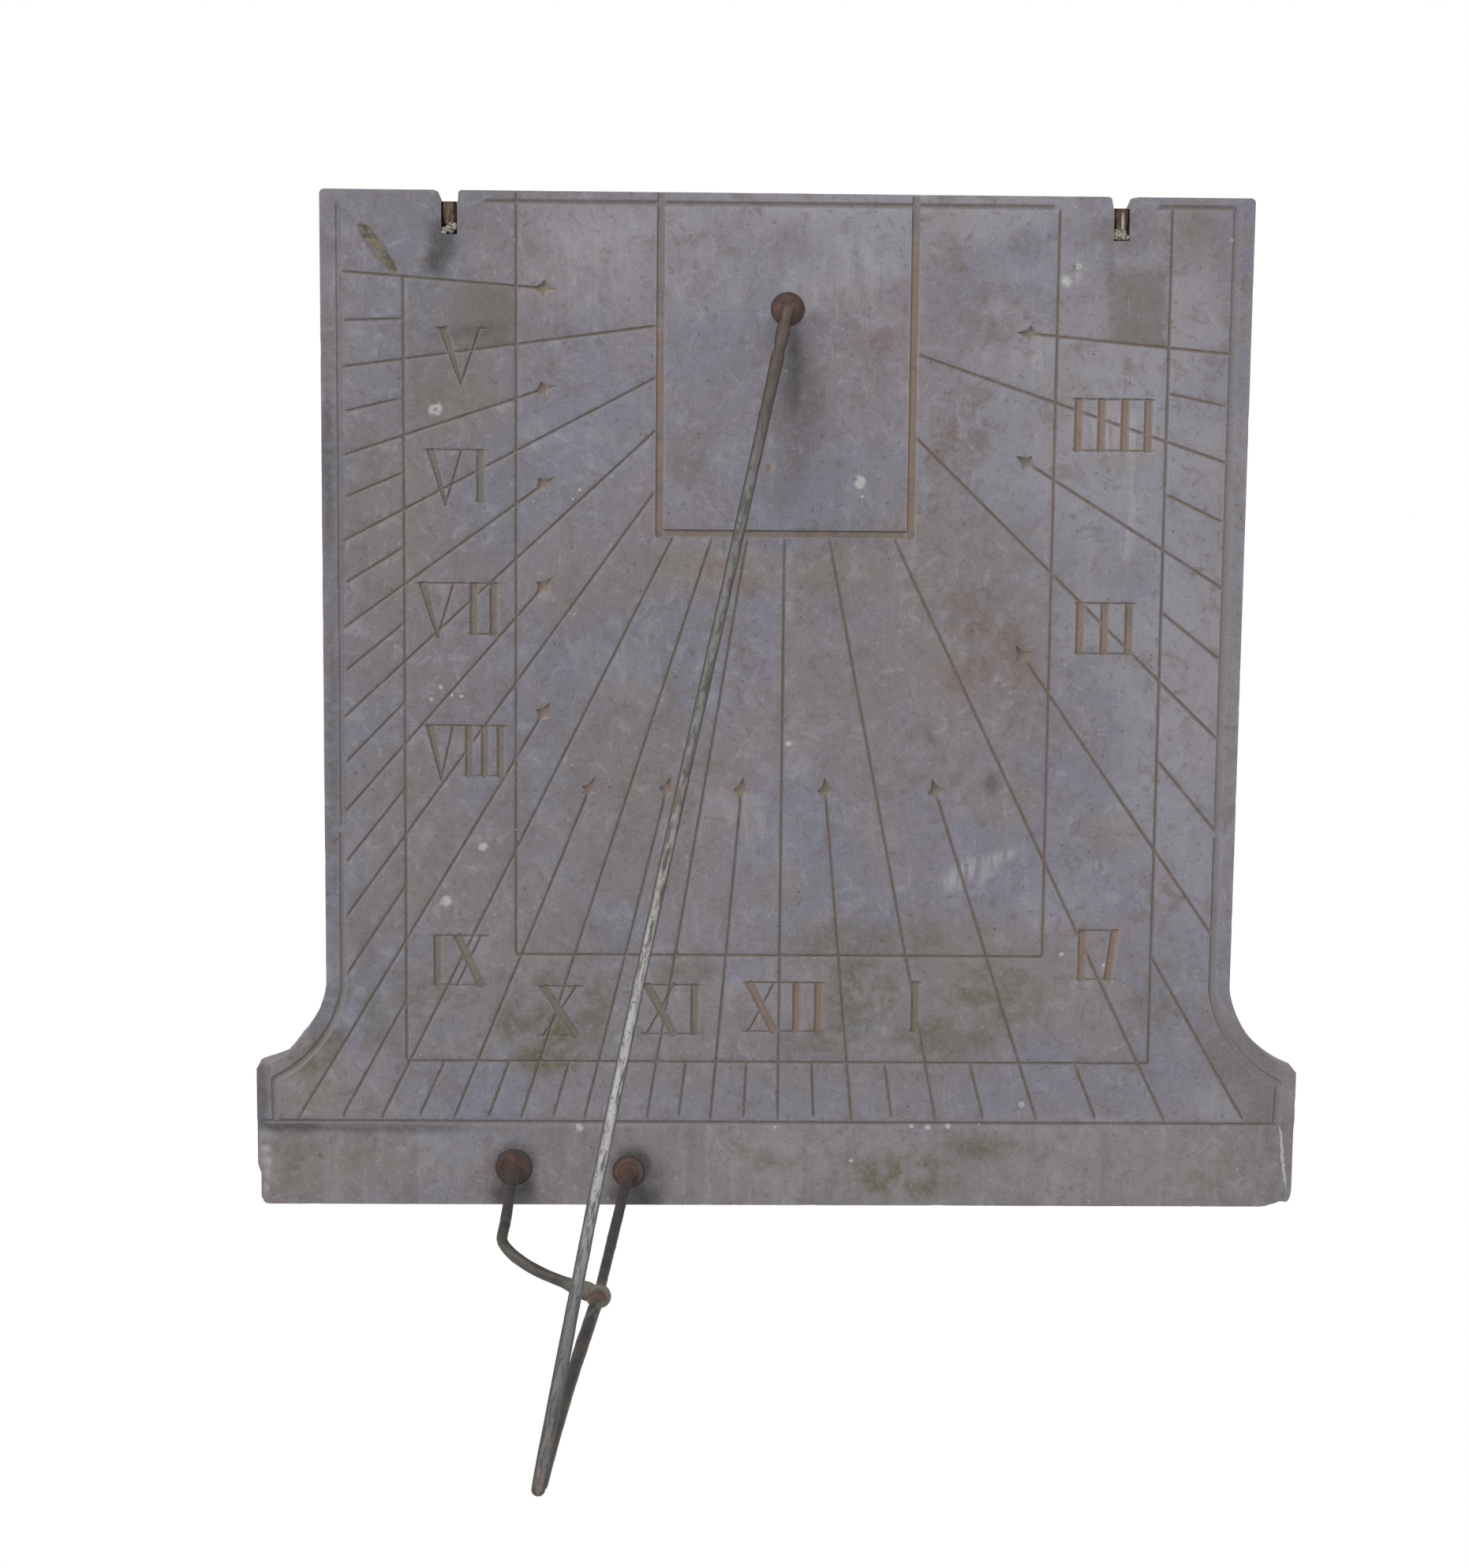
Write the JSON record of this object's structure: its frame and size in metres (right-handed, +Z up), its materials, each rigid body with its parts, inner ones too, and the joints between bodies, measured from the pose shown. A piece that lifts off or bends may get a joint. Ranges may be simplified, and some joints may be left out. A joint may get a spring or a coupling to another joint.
{
  "type": "wall sundial",
  "caption": "Upright slate sundial for a wall, with cut hour lines and Roman numerals, a hollow-curved base and an iron gnomon held in lead.",
  "frame": {"origin": "middle of the slab's flat back, which lies against the wall", "axes": "+Z up, +X to the right of someone who faces the dial, +Y into the wall"},
  "size_m": [0.67, 0.4444, 0.6849],
  "materials": {
    "slate": "weathered, riven and rubbed",
    "stained_lead": "dull lead stained by rust",
    "weathered_iron": "pale weathered bar",
    "dark_iron": "dark forged bar",
    "rusted_iron": "scaling rust",
    "pale_lead": "chalky lead"
  },
  "bodies": {
    "root": {"dial_slab": "slate", "root_lead_plug": "stained_lead", "stay_lead_plug": "stained_lead", "brace_lead_plug": "stained_lead", "gnomon_rod": "weathered_iron", "gnomon_stay": "dark_iron", "side_brace": "dark_iron", "cramp_pin_left": "rusted_iron", "cramp_pin_right": "rusted_iron", "cramp_lead_left": "pale_lead", "cramp_lead_right": "pale_lead"}
  },
  "joints": []
}
